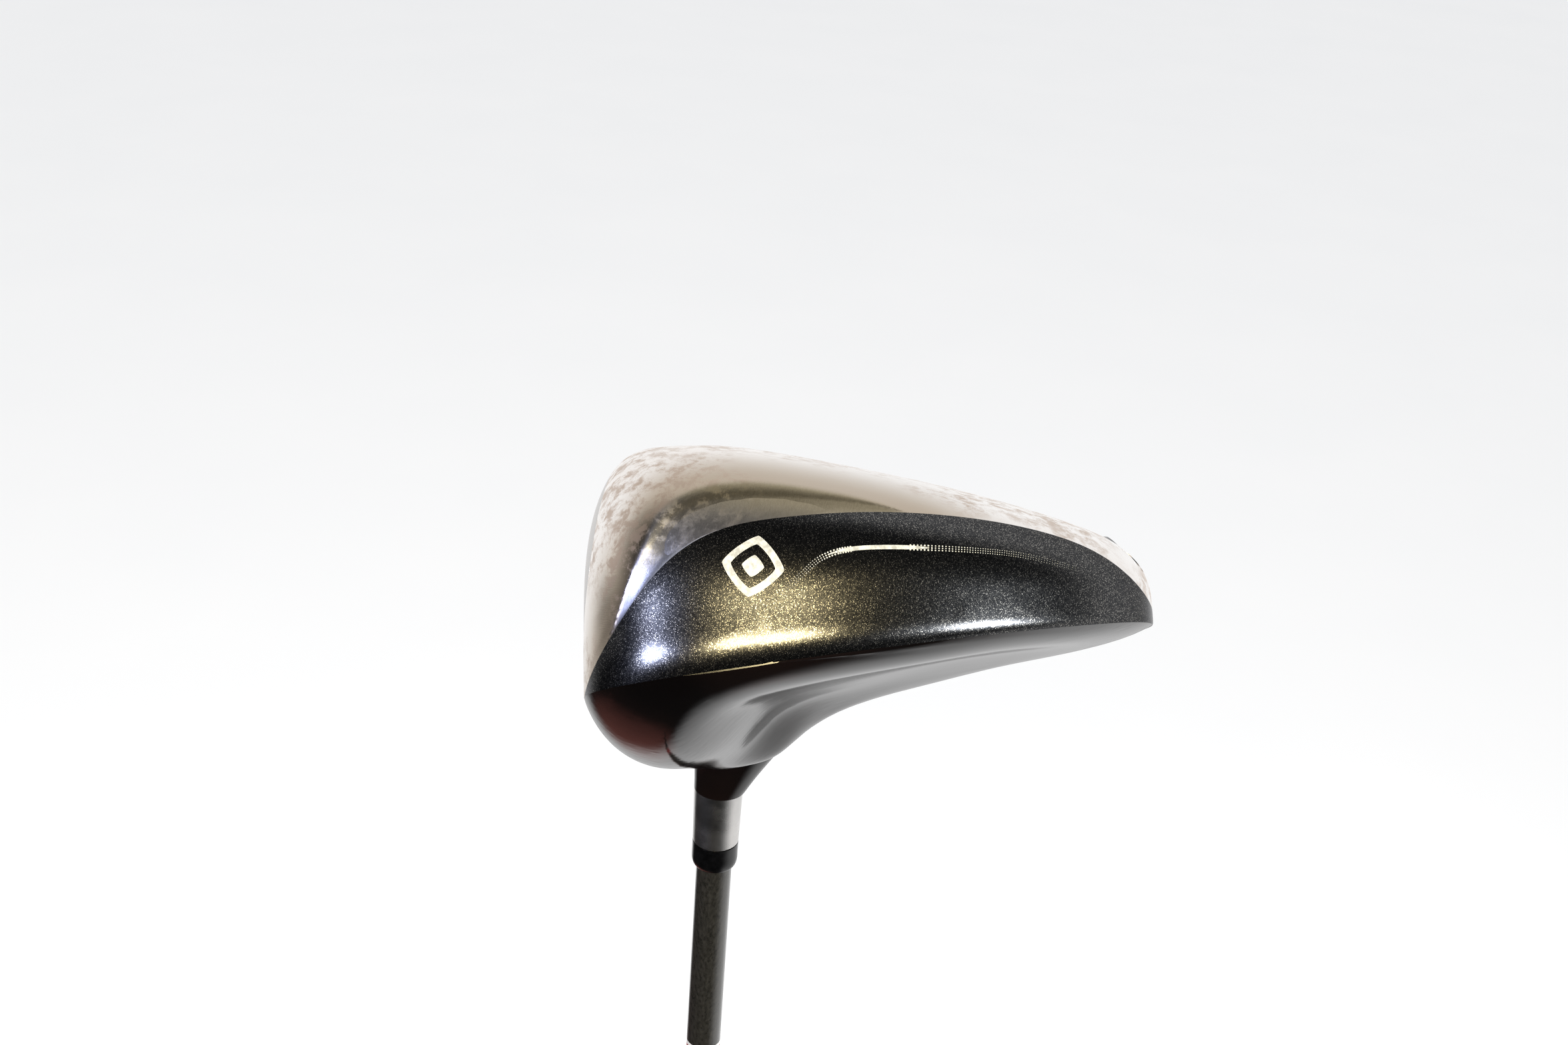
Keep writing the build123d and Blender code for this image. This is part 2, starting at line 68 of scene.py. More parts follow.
mounts = {mount["name"]: mount for mount in frame["record"]["mounts"]}
MM = 0.001

SOLE_POINT = (0, -20, 3.1)      # the sole mount, in the head frame
HEAD_Z = -Vector(mounts["sole"]["axis"]).normalized()
HEAD_Y = Vector((0, -1, 0))
HEAD_X = HEAD_Y.cross(HEAD_Z)
HEAD_AXES = (HEAD_X, HEAD_Y, HEAD_Z)
HEAD_ORIGIN = Vector(mounts["sole"]["pos_m"]) - sum(
    (axis * place * MM for axis, place in zip(HEAD_AXES, SOLE_POINT)), Vector()
)


def turned(x, y, z):
    """A direction given in the head frame."""
    return HEAD_X * x + HEAD_Y * y + HEAD_Z * z


def placed(x, y, z):
    """A point given in the head frame, in millimetres."""
    return HEAD_ORIGIN + turned(x, y, z) * MM


def local(point):
    """A point of the row frame, in the head frame's millimetres."""
    offset = (point - HEAD_ORIGIN) / MM
    return Vector(offset.dot(axis) for axis in HEAD_AXES)


# ---- camera ----
LENS = 42.84
CAMERA_AT = (384.8, -65.9, 56.9)
CAMERA_AIM = (0, -17.6, 16.1)
CAMERA_ROLL = math.radians(8.4)

forward = (placed(*CAMERA_AIM) - placed(*CAMERA_AT)).normalized()
level_up = (-HEAD_Z + forward * HEAD_Z.dot(forward)).normalized()
level_right = forward.cross(level_up)
view_up = level_up * math.cos(CAMERA_ROLL) - level_right * math.sin(CAMERA_ROLL)
view_right = forward.cross(view_up)

camera = bpy.data.objects.new("camera", bpy.data.cameras.new("camera"))
camera.data.lens = LENS
camera.data.sensor_width = 36
camera.data.clip_start = 0.01
camera.data.clip_end = 120
camera.matrix_world = Matrix.Translation(placed(*CAMERA_AT)) @ Matrix(
    (view_right, view_up, -forward)
).transposed().to_4x4()
bpy.context.scene.collection.objects.link(camera)
bpy.context.scene.camera = camera


# ---- material building ----
class Shader:
    """A principled material with short calls for the nodes it is made of."""

    def __init__(self, name, **values):
        self.material = bpy.data.materials.new(name)
        self.material.use_nodes = True
        self.tree = self.material.node_tree
        self.surface = self.tree.nodes["Principled BSDF"]
        self.place = self.node("ShaderNodeTexCoord").outputs["Object"]
        for socket, value in values.items():
            self.surface.inputs[socket.replace("_", " ")].default_value = value

    def node(self, kind, **settings):
        """A new node with these properties."""
        node = self.tree.nodes.new(kind)
        for name, value in settings.items():
            setattr(node, name, value)
        return node

    def set(self, socket, value):
        """Links a socket into an input, or gives the input a constant."""
        if isinstance(value, bpy.types.NodeSocket):
            self.tree.links.new(value, socket)
        else:
            socket.default_value = value

    def feed(self, name, value):
        """Links a socket into one of the principled inputs, by its name."""
        self.set(self.surface.inputs[name], value)

    def math(self, operation, first, second=0.0, third=0.0):
        node = self.node("ShaderNodeMath", operation=operation)
        for socket, value in zip(node.inputs, (first, second, third)):
            self.set(socket, value)
        return node.outputs[0]

    def step(self, value, low, high, bottom=0.0, top=1.0):
        """Smooth step from bottom to top as value goes from low to high."""
        node = self.node("ShaderNodeMapRange", interpolation_type="SMOOTHSTEP")
        for socket, part in zip(node.inputs, (value, low, high, bottom, top)):
            self.set(socket, part)
        return node.outputs[0]

    def along(self, direction, origin=Vector()):
        """How far the shaded point is from the origin along a direction, in millimetres."""
        node = self.node("ShaderNodeVectorMath", operation="DOT_PRODUCT")
        self.set(node.inputs[0], self.place)
        node.inputs[1].default_value = direction / MM
        return self.math("SUBTRACT", node.outputs["Value"], direction.dot(origin) / MM)

    def stretched(self, axes, scales):
        """Coordinates along three directions, each with its own scale."""
        node = self.node("ShaderNodeCombineXYZ")
        for socket, axis, scale in zip(node.inputs, axes, scales):
            self.set(socket, self.math("MULTIPLY", self.along(axis), scale))
        return node.outputs[0]

    def noise(self, scale, detail=4.0, roughness=0.5, vector=None, distortion=0.0):
        node = self.node("ShaderNodeTexNoise")
        self.set(node.inputs["Vector"], self.place if vector is None else vector)
        for name, value in (("Scale", scale), ("Detail", detail), ("Roughness", roughness)):
            node.inputs[name].default_value = value
        node.inputs["Distortion"].default_value = distortion
        return node.outputs["Fac"]

    def cell_colours(self, scale):
        """A random colour for each of many small cells."""
        node = self.node("ShaderNodeTexVoronoi")
        self.set(node.inputs["Vector"], self.place)
        node.inputs["Scale"].default_value = scale
        return node.outputs["Color"]

    def ramp(self, value, *stops):
        """A colour from a value, by stops of place and colour."""
        node = self.node("ShaderNodeValToRGB")
        while len(node.color_ramp.elements) < len(stops):
            node.color_ramp.elements.new(0.5)
        for element, (place, colour) in zip(node.color_ramp.elements, stops):
            element.position = place
            element.color = (*colour, 1)
        self.set(node.inputs[0], value)
        return node.outputs[0]

    def mix(self, share, first, second):
        """The first colour where share is 0, the second where it is 1."""
        node = self.node("ShaderNodeMix", data_type="RGBA")
        self.set(node.inputs[0], share)
        for socket, value in ((node.inputs[6], first), (node.inputs[7], second)):
            self.set(socket, value if isinstance(value, bpy.types.NodeSocket) else (*value, 1))
        return node.outputs[2]

    def bump(self, height, distance, strength=1.0, after=None, target="Normal"):
        node = self.node("ShaderNodeBump")
        node.inputs["Strength"].default_value = strength
        node.inputs["Distance"].default_value = distance
        self.set(node.inputs["Height"], height)
        if after is not None:
            self.set(node.inputs["Normal"], after)
        self.feed(target, node.outputs[0])
        return node.outputs[0]


def paint(piece, material):
    """Gives an object one material."""
    piece.data.materials.clear()
    piece.data.materials.append(material)
    return piece


# ---- cove between the bare sole and the painted skirt, in the head's side view ----
# Its outer edge is given by direction in degrees and distance from a middle point, front to rear.
COVE_MIDDLE = (-42.0, 62.0)
COVE_EDGE = (
    (-12, 48.4), (-23, 49.3), (-31, 51.3), (-38, 53.9), (-45, 57.1), (-49, 57.4), (-54, 56.7),
    (-60, 54.9), (-66, 52.8), (-73, 50.4), (-81, 48.4), (-90, 46.6), (-97, 45.4),
)
COVE_DEPTH = 1.5
COVE_FULL_WIDTH = 9.0
REACH_UNIT = 100.0              # distance that the edge's curve counts as 1

FLAKES = 9000                   # paint flakes to a metre
BAND_LOW = 930.0                # bottom of the shaft's red band above the butt end
BAND_HIGH = 972.0
BAND_RING = 1.2                 # width of the silver rings at its ends
UPRIGHT = Vector((0, 0, 1))     # the shaft's own direction


def fill_cove_curve(mapping):
    """Puts the cove's outer edge on a curve from direction, as a share of a half turn, to reach."""
    curve = mapping.curves[0]
    stops = [(1 + angle / 180, reach / REACH_UNIT) for angle, reach in COVE_EDGE]
    for place, value in stops[1:-1]:
        curve.points.new(place, value)
    for point, stop in zip((curve.points[0], curve.points[-1]), (stops[-1], stops[0])):
        point.location = stop
    mapping.update()


def cove_margin(shader):
    """Distance outside the cove's outer edge, negative inside it, as a socket."""
    across = shader.math("SUBTRACT", shader.along(HEAD_Y, HEAD_ORIGIN), COVE_MIDDLE[0])
    up = shader.math("SUBTRACT", shader.along(HEAD_Z, HEAD_ORIGIN), COVE_MIDDLE[1])
    angle = shader.math("ARCTAN2", up, across)
    share = shader.math("MULTIPLY_ADD", angle, 1 / math.pi, 1.0)
    edge = shader.node("ShaderNodeFloatCurve")
    fill_cove_curve(edge.mapping)
    shader.set(edge.inputs["Value"], share)
    reach = shader.math(
        "SQRT", shader.math("ADD", shader.math("POWER", up, 2), shader.math("POWER", across, 2))
    )
    return shader.math("SUBTRACT", reach, shader.math("MULTIPLY", edge.outputs[0], REACH_UNIT))


# ---- materials ----
def sole_metal():
    """Polished titanium with mottled handling wear; the cove is brushed along its length, and its colour
    holds painted reflections and painted shade.
    """
    shader = Shader("sole_metal", Metallic=1.0)
    margin = cove_margin(shader)
    brushed = shader.step(margin, -1.1, 0.5, 1.0, 0.0)
    stain = shader.noise(300, 8, 0.72, distortion=0.25)
    blotch = shader.noise(30, 3, 0.55)
    wear = shader.math("MULTIPLY", shader.step(stain, 0.42, 0.62), shader.step(blotch, 0.36, 0.58))
    tint = shader.noise(22, 2, 0.5)
    clean = shader.ramp(tint, (0.35, (0.90, 0.875, 0.855)), (0.65, (0.83, 0.765, 0.71)))
    handled = shader.mix(shader.step(margin, 1.0, 12.0, 0.95, 0.0), clean, (0.44, 0.36, 0.27))
    silver = shader.mix(shader.math("MULTIPLY", wear, 0.85), handled, (0.46, 0.35, 0.27))
    streaks = shader.noise(1.0, 5, 0.72, shader.stretched(HEAD_AXES, (0.30, 4.0, 1.1)))
    # painted reflection: the brushed cove is tinted gold nearer the sole and blue-grey further up,
    # standing in for the golden and bluish lamps it reflects
    painted_reflection_share = shader.step(shader.along(HEAD_Z, HEAD_ORIGIN), 16, 34)
    warm_painted_reflection = shader.mix(streaks, (0.20, 0.165, 0.10), (0.42, 0.355, 0.235))
    cold_painted_reflection = shader.mix(streaks, (0.28, 0.29, 0.35), (0.62, 0.65, 0.78))
    # painted shade: from 33 to 47 mm up the head the cove's colour fades to near black, darker towards the
    # skirt
    low = shader.step(shader.along(HEAD_Z, HEAD_ORIGIN), 33, 47)
    hollow = shader.mix(low, shader.mix(painted_reflection_share, warm_painted_reflection, cold_painted_reflection), (0.035, 0.038, 0.048))
    shader.feed("Base Color", shader.mix(brushed, silver, hollow))
    scratch = shader.noise(1.0, 3, 0.6, shader.stretched(HEAD_AXES, (0.4, 0.4, 7.0)))
    polish = shader.step(wear, 0.0, 1.0, 0.17, 0.38)
    dull = shader.step(low, 0.0, 1.0, 0.18, 0.40)
    rough = shader.math("ADD", polish, shader.math("MULTIPLY", brushed, dull))
    shader.feed("Roughness", rough)
    fine = shader.bump(scratch, 0.00002, 0.35)
    shader.bump(shader.math("MULTIPLY", streaks, brushed), 0.00005, 0.8, fine)
    return shader.material


def face_metal():
    """Milled face: fine lines across, a little duller than the sole."""
    shader = Shader("face_metal", Metallic=1.0)
    lines = shader.noise(1.0, 2, 0.5, shader.stretched(HEAD_AXES, (0.05, 0.3, 9.0)))
    marks = shader.noise(40, 5, 0.6)
    metal = shader.ramp(marks, (0.3, (0.46, 0.45, 0.44)), (0.7, (0.68, 0.66, 0.63)))
    shader.feed("Base Color", metal)
    shader.feed("Roughness", shader.step(marks, 0.3, 0.7, 0.30, 0.42))
    shader.bump(lines, 0.00005, 0.6)
    return shader.material


def flake_paint(name):
    """Black metal-flake paint under a clear coat."""
    shader = Shader(name, Metallic=1.0, Coat_Weight=0.3, Coat_Roughness=0.16, Coat_IOR=1.5)
    shader.surface.inputs["Specular Tint"].default_value = (0.30, 0.30, 0.31, 1)
    value = shader.node("ShaderNodeSeparateColor")
    shader.set(value.inputs[0], shader.cell_colours(FLAKES))
    sparkle = shader.step(value.outputs[0], 0.86, 1.0)
    cloud = shader.noise(2400, 3, 0.6)
    base = shader.ramp(cloud, (0.35, (0.022, 0.023, 0.026)), (0.65, (0.060, 0.060, 0.061)))
    shader.feed("Base Color", shader.mix(sparkle, base, (0.50, 0.48, 0.44)))
    shader.feed("Roughness", shader.math("MULTIPLY_ADD", value.outputs[1], 0.08, 0.22))
    shader.bump(shader.noise(5200, 2, 0.5), 0.00001, 0.10)
    shader.bump(shader.noise(260, 2, 0.4), 0.000010, 0.25, target="Coat Normal")
    return shader.material


def gloss_black():
    """Deep gloss crown paint, faintly brown where the light gets into it."""
    shader = Shader("crown_gloss", Specular_IOR_Level=0.0, Coat_Weight=0.7, Coat_Roughness=0.11)
    depth = shader.noise(30, 3, 0.5)
    black = shader.ramp(depth, (0.3, (0.0010, 0.0008, 0.0008)), (0.8, (0.0040, 0.0022, 0.0018)))
    shader.feed("Base Color", black)
    dust = shader.noise(420, 4, 0.65)
    shader.feed("Roughness", shader.step(dust, 0.4, 0.7, 0.10, 0.18))
    peel = shader.noise(240, 2, 0.4)
    shader.bump(peel, 0.000012, 0.35, target="Coat Normal")
    return shader.material


def hosel_metal():
    """Turned and satin-polished steel."""
    shader = Shader("hosel_metal", Metallic=1.0)
    turning = shader.stretched((HEAD_X, HEAD_Y, UPRIGHT), (0.02, 0.02, 14))
    rings = shader.noise(1.0, 2, 0.5, turning)
    marks = shader.noise(90, 4, 0.6)
    metal = shader.ramp(marks, (0.3, (0.52, 0.51, 0.50)), (0.7, (0.68, 0.66, 0.64)))
    shader.feed("Base Color", metal)
    shader.feed("Roughness", shader.step(marks, 0.3, 0.7, 0.22, 0.30))
    shader.bump(rings, 0.00003, 0.5)
    return shader.material


def plastic(name, colour, roughness, scale=500):
    """Moulded plastic with a faint grain."""
    shader = Shader(name)
    grain = shader.noise(scale, 4, 0.6)
    lighter = tuple(part * 1.8 for part in colour)
    shader.feed("Base Color", shader.mix(shader.step(grain, 0.35, 0.7), colour, lighter))
    shader.feed("Roughness", shader.step(grain, 0.3, 0.7, roughness, roughness + 0.1))
    shader.bump(grain, 0.00003, 0.4)
    return shader.material


def shaft_paint():
    """Gloss graphite shaft: dark bronze-grey, with a red band between two thin silver rings."""
    shader = Shader("shaft_paint", Metallic=0.35, Coat_Weight=1.0, Coat_Roughness=0.04)
    height = shader.along(UPRIGHT)
    fibres = shader.stretched((HEAD_X, HEAD_Y, UPRIGHT), (1.5, 1.5, 0.06))
    weave = shader.noise(1.0, 3, 0.6, fibres)
    base = shader.ramp(weave, (0.3, (0.008, 0.0075, 0.006)), (0.7, (0.022, 0.020, 0.016)))
    red = shader.ramp(weave, (0.3, (0.22, 0.012, 0.012)), (0.7, (0.36, 0.022, 0.018)))

    def band(low, high, first, second):
        inside = shader.math(
            "MULTIPLY",
            shader.math("GREATER_THAN", height, low),
            shader.math("LESS_THAN", height, high),
        )
        return shader.mix(inside, first, second)

    colour = band(BAND_LOW, BAND_HIGH, base, red)
    for edge in (BAND_LOW, BAND_HIGH):
        colour = band(edge - BAND_RING / 2, edge + BAND_RING / 2, colour, (0.62, 0.61, 0.58))
    shader.feed("Base Color", colour)
    shader.feed("Roughness", shader.step(weave, 0.3, 0.7, 0.26, 0.38))
    shader.bump(shader.noise(180, 2, 0.4), 0.00001, 0.3, target="Coat Normal")
    return shader.material


def rubber():
    """Dull black grip rubber, dusty in its hollows."""
    shader = Shader("grip_rubber", Specular_IOR_Level=0.35)
    grain = shader.noise(900, 5, 0.65)
    dust = shader.noise(60, 4, 0.6)
    black = shader.ramp(dust, (0.35, (0.012, 0.012, 0.012)), (0.75, (0.032, 0.031, 0.030)))
    shader.feed("Base Color", black)
    shader.feed("Roughness", shader.step(grain, 0.3, 0.7, 0.62, 0.80))
    shader.bump(grain, 0.0001, 0.6)
    return shader.material


def dull_metal(name, dark, light, roughness):
    """Machined metal with light tarnish."""
    shader = Shader(name, Metallic=1.0)
    marks = shader.noise(160, 5, 0.6)
    shader.feed("Base Color", shader.ramp(marks, (0.3, dark), (0.7, light)))
    shader.feed("Roughness", shader.step(marks, 0.3, 0.7, roughness, roughness + 0.15))
    shader.bump(shader.noise(1200, 3, 0.6), 0.00002, 0.5)
    return shader.material


def resin(name, colour, roughness):
    """Cured resin or hot melt, a little translucent."""
    shader = Shader(name, Subsurface_Weight=0.2)
    shader.surface.inputs["Subsurface Scale"].default_value = 0.001
    lumps = shader.noise(140, 3, 0.5)
    darker = tuple(part * 0.7 for part in colour)
    shader.feed("Base Color", shader.mix(lumps, darker, colour))
    shader.feed("Roughness", shader.step(lumps, 0.3, 0.7, roughness, roughness + 0.2))
    shader.bump(lumps, 0.0002, 0.6)
    return shader.material


flake = flake_paint("skirt_flake")
for name in ("toe_panel", "heel_panel"):
    paint(nodes[name], flake)
crown_gloss = gloss_black()
paint(nodes["crown_shell"], crown_gloss)
paint(nodes["face_insert"], face_metal())
paint(nodes["hosel_tube"], hosel_metal())
paint(nodes["ferrule"], plastic("ferrule_plastic", (0.0008, 0.0008, 0.0009), 0.12))
paint(nodes["hosel_plug"], plastic("core_plastic", (0.03, 0.03, 0.032), 0.5))
paint(nodes["epoxy_bond"], resin("epoxy", (0.45, 0.36, 0.20), 0.25))
paint(nodes["hot_melt_pad"], resin("hot_melt", (0.60, 0.52, 0.38), 0.45))
paint(nodes["tip_weight"], dull_metal("brass", (0.42, 0.28, 0.10), (0.62, 0.45, 0.18), 0.28))
paint(nodes["grip_tape"], plastic("tape", (0.30, 0.28, 0.24), 0.6, 300))
paint(nodes["shaft"], shaft_paint())
rubber_black = rubber()
paint(nodes["grip_sleeve"], rubber_black)
paint(nodes["grip_cap"], rubber_black)
sole_silver = sole_metal()
paint(nodes["weight_port"], sole_silver)
screw_steel = dull_metal("screw_steel", (0.10, 0.10, 0.105), (0.26, 0.26, 0.27), 0.25)
paint(nodes["weight_screw"], screw_steel)


# ---- refined copies of CAD skins ----
MOST_HALVINGS = 8               # how often a long edge may be halved


class Skin:
    """Triangles of CAD nodes, made finer in one place, with the CAD's own smooth normals."""

    def __init__(self, names, fine, longest):
        self.sources = []
        self.work = bmesh.new()
        source = self.work.faces.layers.int.new("source")
        for name in names:
            mesh = nodes[name].data
            first = len(self.sources)
            self.work.from_mesh(mesh)
            corner = [normal.vector.copy() for normal in mesh.corner_normals]
            for polygon in mesh.polygons:
                points = [mesh.vertices[index].co.copy() for index in polygon.vertices]
                self.sources.append((name, points, [corner[loop] for loop in polygon.loop_indices]))
            self.work.faces.ensure_lookup_table()
            for index in range(first, len(self.sources)):
                self.work.faces[index][source] = index
        for _ in range(MOST_HALVINGS):
            long_edges = [
                line for line in self.work.edges
                if line.calc_length() > longest * MM and fine((line.verts[0].co + line.verts[1].co) / 2)
            ]
            if not long_edges:
                break
            bmesh.ops.subdivide_edges(self.work, edges=long_edges, cuts=1)
            bmesh.ops.triangulate(self.work, faces=self.work.faces)
        self.work.verts.index_update()
        self.faces = [[corner.index for corner in face.verts] for face in self.work.faces]
        self.owners = [self.sources[face[source]][0] for face in self.work.faces]
        self.points = [vertex.co.copy() for vertex in self.work.verts]
        self.normals = []
        self.owner_of = []
        for vertex in self.work.verts:
            owner, points, normals = self.sources[vertex.link_faces[0][source]]
            self.owner_of.append(owner)
            self.normals.append(barycentric_transform(vertex.co, *points, *normals).normalized())
        self.work.free()

    def piece(self, label, node, material):
        """New piece from the faces that came from one node, in place of that node."""
        kept = [face for face, owner in zip(self.faces, self.owners) if owner == node]
        used = sorted({index for face in kept for index in face})
        place = {old: new for new, old in enumerate(used)}
        mesh = bpy.data.meshes.new(label)
        mesh.from_pydata(
            [self.points[index] for index in used], [], [[place[index] for index in face] for face in kept]
        )
        mesh.polygons.foreach_set("use_smooth", [True] * len(mesh.polygons))
        mesh.normals_split_custom_set_from_vertices([self.normals[index] for index in used])
        return added(label, mesh, material, node)


def added(label, mesh, material, replaced=None):
    """Puts a mesh in the scene as a piece of the club."""
    piece = bpy.data.objects.new(label, mesh)
    bpy.context.scene.collection.objects.link(piece)
    paint(piece, material)
    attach(piece, "root")
    if replaced:
        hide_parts(replaced)
    return piece


# ---- sole with its hollowed cove, in place of the plain sole ----
REFINED_EDGE = 0.8              # longest mesh edge near the cove
COVE_NEAR = 3.0                 # how far outside the cove the finer mesh goes
TOUCHING = 0.01                 # vertices this close together move together
SLOPE_STEP = 0.15               # half of the run over which the cove's slope is taken
COVE_SHOULDER = 0.3             # share of its width over which the cove eases in from its outer edge
COVE_LEAN = 0.62                # under 1, the cove is deepest on the skirt's side of its middle
LIP = 0.35                      # drop from the skirt paint to the cove at their border
LIP_POWER = 5
INSIDE = placed(0, -35, 34)     # a point in the hollow of the head


def node_tree(name):
    """Search tree of a node's own faces."""
    mesh = nodes[name].data
    return BVHTree.FromPolygons(
        [vertex.co.copy() for vertex in mesh.vertices],
        [tuple(polygon.vertices) for polygon in mesh.polygons],
    )


skirt_trees = {1: node_tree("toe_panel"), -1: node_tree("heel_panel")}
cove_group = bpy.data.node_groups.new("cove_edge", "ShaderNodeTree")
cove_mapping = cove_group.nodes.new("ShaderNodeFloatCurve").mapping
fill_cove_curve(cove_mapping)


def cove_distance(point):
    """Distance outside the cove's outer edge, negative inside it."""
    place = local(point)
    across = place.y - COVE_MIDDLE[0]
    up = place.z - COVE_MIDDLE[1]
    share = 1 + math.atan2(up, across) / math.pi
    if share < 1 + COVE_EDGE[-1][0] / 180 or share > 1 + COVE_EDGE[0][0] / 180:
        return COVE_NEAR
    reach = REACH_UNIT * cove_mapping.evaluate(cove_mapping.curves[0], share)
    return math.hypot(across, up) - reach


def cove_depth(point):
    """How far the cove is hollowed at this point, in millimetres."""
    outside = cove_distance(point)
    if outside >= 0:
        return 0.0
    side = skirt_trees[1 if local(point).x > 0 else -1]
    gap = side.find_nearest(point)[3] / MM
    width = max(gap - outside, TOUCHING)
    share = gap / width
    ease = min(1.0, (1 - share) / COVE_SHOULDER)
    ease = ease * ease * (3 - 2 * ease)
    hollow = math.sin(math.pi * share**COVE_LEAN) * min(1.0, width / COVE_FULL_WIDTH) * COVE_DEPTH
    return hollow * ease + LIP * (1 - share) ** LIP_POWER * min(1.0, width / COVE_NEAR)


def cove_slope(point, normal):
    """Rise of the cove's depth across the surface, as a vector in the surface."""
    side = normal.orthogonal().normalized()
    slope = Vector()
    for axis in (side, normal.cross(side)):
        step = axis * SLOPE_STEP * MM
        slope += axis * (cove_depth(point + step) - cove_depth(point - step)) / (2 * SLOPE_STEP)
    return slope


def sink_cove(skin):
    """Pushes the outside of the sole in along the cove, and turns its normals with it."""
    outside = [normal.dot(point - INSIDE) > 0 for point, normal in zip(skin.points, skin.normals)]
    outer_tree = KDTree(len(skin.points))
    for index, point in enumerate(skin.points):
        if outside[index]:
            outer_tree.insert(point, index)
    outer_tree.balance()
    sunk = []
    for index, (point, normal) in enumerate(zip(skin.points, skin.normals)):
        depth = cove_depth(point)
        _, twin, distance = outer_tree.find(point)
        if depth <= 0 or distance > TOUCHING * MM:
            sunk.append((point, normal))
            continue
        outer = skin.normals[twin]
        if outside[index]:
            normal = (normal + cove_slope(point, normal)).normalized()
        sunk.append((point - outer * depth * MM, normal))
    skin.points = [point for point, _ in sunk]
    skin.normals = [normal for _, normal in sunk]


sole_skin = Skin(
    ["sole_body"], lambda point: cove_distance(point) < COVE_NEAR - TOUCHING, REFINED_EDGE
)
sink_cove(sole_skin)
sole_skin.piece("sole_shell", "sole_body", sole_silver)

# ---- crown and heel skirt, with the neck blended into them ----
PARTING_SLOPE = 0.2927          # the plane where crown and skirt meet: rise towards the face
PARTING_HEIGHT = 54.84          # and its height under the face centre
PARTING_CLEAR = 1.2             # nearer to that plane, an edge is the parting and stays sharp
CREASE = math.cos(math.radians(9))
ROOT_WIDTH = 26.0               # the neck's root lies this near the shaft axis
NECK_WIDTH = 5.9                # nothing nearer the axis is on the outside
OUTWARD = 0.05                  # least cosine between a normal and the way out
BLEND_REACH = 9.0               # how far from the neck's root the blend goes
BLEND_EDGE = 0.9                # longest mesh edge in the blend
BLEND_ROUNDS = 90
BLEND_RATE = 0.6                # how far a vertex goes towards its neighbours' middle in a round
NORMAL_GAIN = 2.5               # the normals reach the blended ones this much sooner than the places
NECK_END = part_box("crown_shell")[0].z
MIDDLES = {"crown_shell": placed(-10, -35, 25), "heel_panel": placed(-10, -35, 55)}
HEAD_PAINT = {"crown_shell": crown_gloss, "heel_panel": flake}


def key_of(point):
    """Whole hundredths of a millimetre, the same for touching vertices."""
    return tuple(round(part / (MM * TOUCHING)) for part in point)


def is_outer(point, normal, owner):
    """Whether a surface point of the crown or skirt is on the outside of the wall."""
    radial = Vector((point.x, point.y, 0))
    if radial.length < NECK_WIDTH * MM:
        return False
    if radial.length < ROOT_WIDTH * MM and normal.dot(radial.normalized()) > OUTWARD:
        return True
    return normal.dot((point - MIDDLES[owner]).normalized()) > OUTWARD


def off_parting(point):
    """How far a point is above or below the plane where crown and skirt meet."""
    place = local(point)
    return abs(place.z - PARTING_HEIGHT - PARTING_SLOPE * place.y)


def crease_points():
    """Points where the neck meets the crown or the skirt in a crease."""
    seen = {}
    for name in MIDDLES:
        mesh = nodes[name].data
        corners = [normal.vector.copy() for normal in mesh.corner_normals]
        for loop, normal in zip(mesh.loops, corners):
            point = mesh.vertices[loop.vertex_index].co
            near = Vector((point.x, point.y, 0)).length < ROOT_WIDTH * MM
            near = near and point.z > NECK_END + BLEND_REACH * MM
            if near and off_parting(point) > PARTING_CLEAR and is_outer(point, normal, name):
                seen.setdefault(key_of(point), []).append((point.copy(), normal))
    return [
        group[0][0] for group in seen.values()
        if any(other[1].dot(group[0][1]) < CREASE for other in group[1:])
    ]


creases = crease_points()
crease_tree = KDTree(len(creases))
for index, point in enumerate(creases):
    crease_tree.insert(point, index)
crease_tree.balance()


def blend_weight(point):
    """1 at the neck's root, falling smoothly to 0 where the blend ends."""
    near = 1 - crease_tree.find(point)[2] / (BLEND_REACH * MM)
    near = max(0.0, min(1.0, near))
    return near * near * (3 - 2 * near)


def blend(skin):
    """Smooths the outside near the neck's root, positions and normals alike."""
    welded = {}
    ids = [welded.setdefault(key_of(point), len(welded)) for point in skin.points]
    outer = [
        is_outer(skin.points[index], skin.normals[index], skin.owner_of[index])
        for index in range(len(skin.points))
    ]
    places = {}
    weights = {}
    for index, point in enumerate(skin.points):
        if outer[index]:
            places[ids[index]] = point.copy()
            weights[ids[index]] = blend_weight(point)
    faces = [[ids[i] for i in face] for face in skin.faces if all(outer[i] for i in face)]
    around = {}
    for face in faces:
        for first, second in zip(face, face[1:] + face[:1]):
            around.setdefault(first, set()).add(second)
            around.setdefault(second, set()).add(first)
    moving = sorted(key for key, weight in weights.items() if weight > 0 and key in around)
    for _ in range(BLEND_ROUNDS):
        moved = {}
        for key in moving:
            ring = around[key]
            middle = sum((places[other] for other in sorted(ring)), Vector()) / len(ring)
            moved[key] = places[key].lerp(middle, BLEND_RATE * weights[key])
        places.update(moved)
    smooth = {key: Vector() for key in moving}
    for face in faces:
        first, second, third = (places[key] for key in face)
        normal = (second - first).cross(third - first)
        for key in face:
            if key in smooth:
                smooth[key] += normal
    for index in range(len(skin.points)):
        key = ids[index]
        if outer[index] and key in smooth:
            skin.points[index] = places[key]
            share = min(1.0, weights[key] * NORMAL_GAIN)
            turned_normal = skin.normals[index].lerp(smooth[key].normalized(), share)
            skin.normals[index] = turned_normal.normalized()


painted_skin = Skin(list(MIDDLES), lambda point: blend_weight(point) > 0, BLEND_EDGE)
blend(painted_skin)
for name, label in (("crown_shell", "crown_skin"), ("heel_panel", "heel_skirt")):
    painted_skin.piece(label, name, HEAD_PAINT[name])

